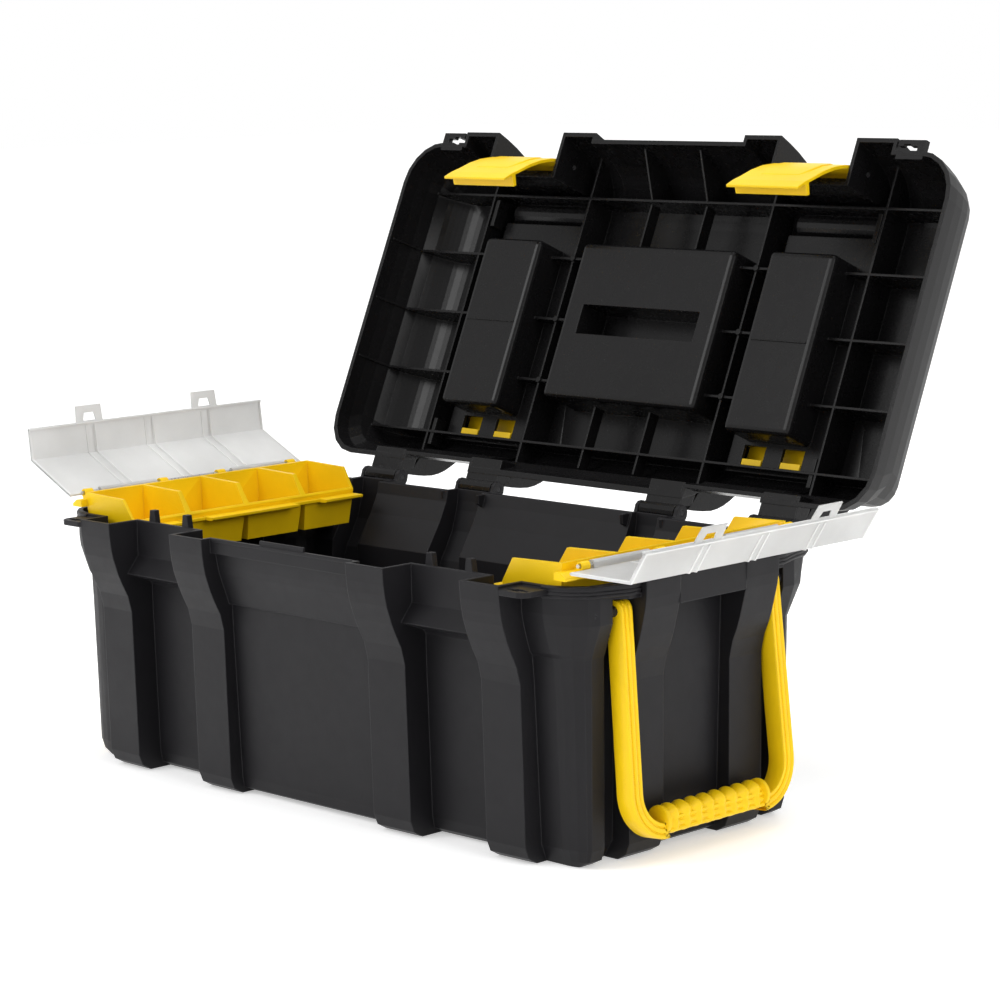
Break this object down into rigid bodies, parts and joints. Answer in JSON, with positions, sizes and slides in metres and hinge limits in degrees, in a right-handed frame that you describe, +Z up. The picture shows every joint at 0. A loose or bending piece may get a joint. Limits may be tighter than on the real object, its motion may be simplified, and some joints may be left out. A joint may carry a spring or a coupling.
{
  "type": "toolbox with tray",
  "caption": "Portable lidded plastic toolbox with lift-out end trays under clear hinged covers, lid-top organiser bins, front latches and swinging end bails.",
  "frame": {"origin": "centre of the tub's underside, on the ground", "axes": "+X along the box to its right end, -Y to the latched front, +Z up"},
  "size_m": [0.7005, 0.4908, 0.4971],
  "materials": {
    "black_plastic": "fine moulded grain",
    "yellow_plastic": "semi-gloss",
    "clear_plastic": "frosted clear",
    "steel": "bright drawn wire"
  },
  "bodies": {
    "tub": {"tub": "black_plastic", "hinge_pin_1": "steel", "hinge_pin_2": "steel", "hinge_pin_3": "steel", "hinge_pin_4": "steel", "bail_pin_left_front": "black_plastic", "bail_pin_left_rear": "black_plastic", "bail_pin_right_front": "black_plastic", "bail_pin_right_rear": "black_plastic"},
    "lid": {"lid": "black_plastic", "latch_pin_left": "steel", "latch_pin_right": "steel"},
    "latch_left": {"latch_left": "yellow_plastic"},
    "organizer_cover_left": {"organizer_cover_left": "yellow_plastic"},
    "bail_left": {"bail_left": "yellow_plastic"},
    "tray_left": {"tray_left": "yellow_plastic", "tray_hinge_rod_left": "steel"},
    "tray_cover_left": {"tray_cover_left": "clear_plastic"},
    "latch_right": {"latch_right": "yellow_plastic"},
    "organizer_cover_right": {"organizer_cover_right": "yellow_plastic"},
    "bail_right": {"bail_right": "yellow_plastic"},
    "tray_right": {"tray_right": "yellow_plastic", "tray_hinge_rod_right": "steel"},
    "tray_cover_right": {"tray_cover_right": "clear_plastic"}
  },
  "joints": [
    {"name": "lid_hinge", "type": "hinge", "parent": "tub", "child": "lid", "pos_m": [0, 0.165, 0.206], "axis": [1, 0, 0], "range_deg": [0, 113.9]},
    {"name": "latch_left_swing", "type": "hinge", "parent": "lid", "child": "latch_left", "pos_m": [-0.1608, 0.3024, 0.46669], "axis": [-1, 0, 0], "range_deg": [0, 35]},
    {"name": "organizer_left_hinge", "type": "hinge", "parent": "lid", "child": "organizer_cover_left", "pos_m": [-0.162, 0.24518, 0.23391], "axis": [-1, 0, 0], "range_deg": [0, 100]},
    {"name": "bail_left_swing", "type": "hinge", "parent": "tub", "child": "bail_left", "pos_m": [-0.2855, 0, 0.183], "axis": [0, 1, 0], "range_deg": [0, 85]},
    {"name": "tray_left_lift", "type": "slide", "parent": "tub", "child": "tray_left", "axis": [0, 0, -1], "range_m": [-0.09, 0]},
    {"name": "tray_cover_left_swing", "type": "hinge", "parent": "tray_left", "child": "tray_cover_left", "pos_m": [-0.2795, 0, 0.218], "axis": [0, 1, 0], "range_deg": [0, 154]},
    {"name": "latch_right_swing", "type": "hinge", "parent": "lid", "child": "latch_right", "pos_m": [0.1608, 0.3024, 0.46669], "axis": [-1, 0, 0], "range_deg": [0, 35]},
    {"name": "organizer_right_hinge", "type": "hinge", "parent": "lid", "child": "organizer_cover_right", "pos_m": [0.162, 0.24518, 0.23391], "axis": [-1, 0, 0], "range_deg": [0, 100]},
    {"name": "bail_right_swing", "type": "hinge", "parent": "tub", "child": "bail_right", "pos_m": [0.2855, 0, 0.183], "axis": [0, -1, 0], "range_deg": [0, 85]},
    {"name": "tray_right_lift", "type": "slide", "parent": "tub", "child": "tray_right", "axis": [0, 0, -1], "range_m": [-0.09, 0]},
    {"name": "tray_cover_right_swing", "type": "hinge", "parent": "tray_right", "child": "tray_cover_right", "pos_m": [0.2795, 0, 0.218], "axis": [0, -1, 0], "range_deg": [0, 180]}
  ],
  "couplings": [
    {"joint": "latch_left_swing", "follows": "lid_hinge", "ratio": 0.30729},
    {"joint": "tray_cover_left_swing", "follows": "lid_hinge", "ratio": 1.3521},
    {"joint": "latch_right_swing", "follows": "lid_hinge", "ratio": 0.30729},
    {"joint": "tray_cover_right_swing", "follows": "lid_hinge", "ratio": 1.5803}
  ]
}
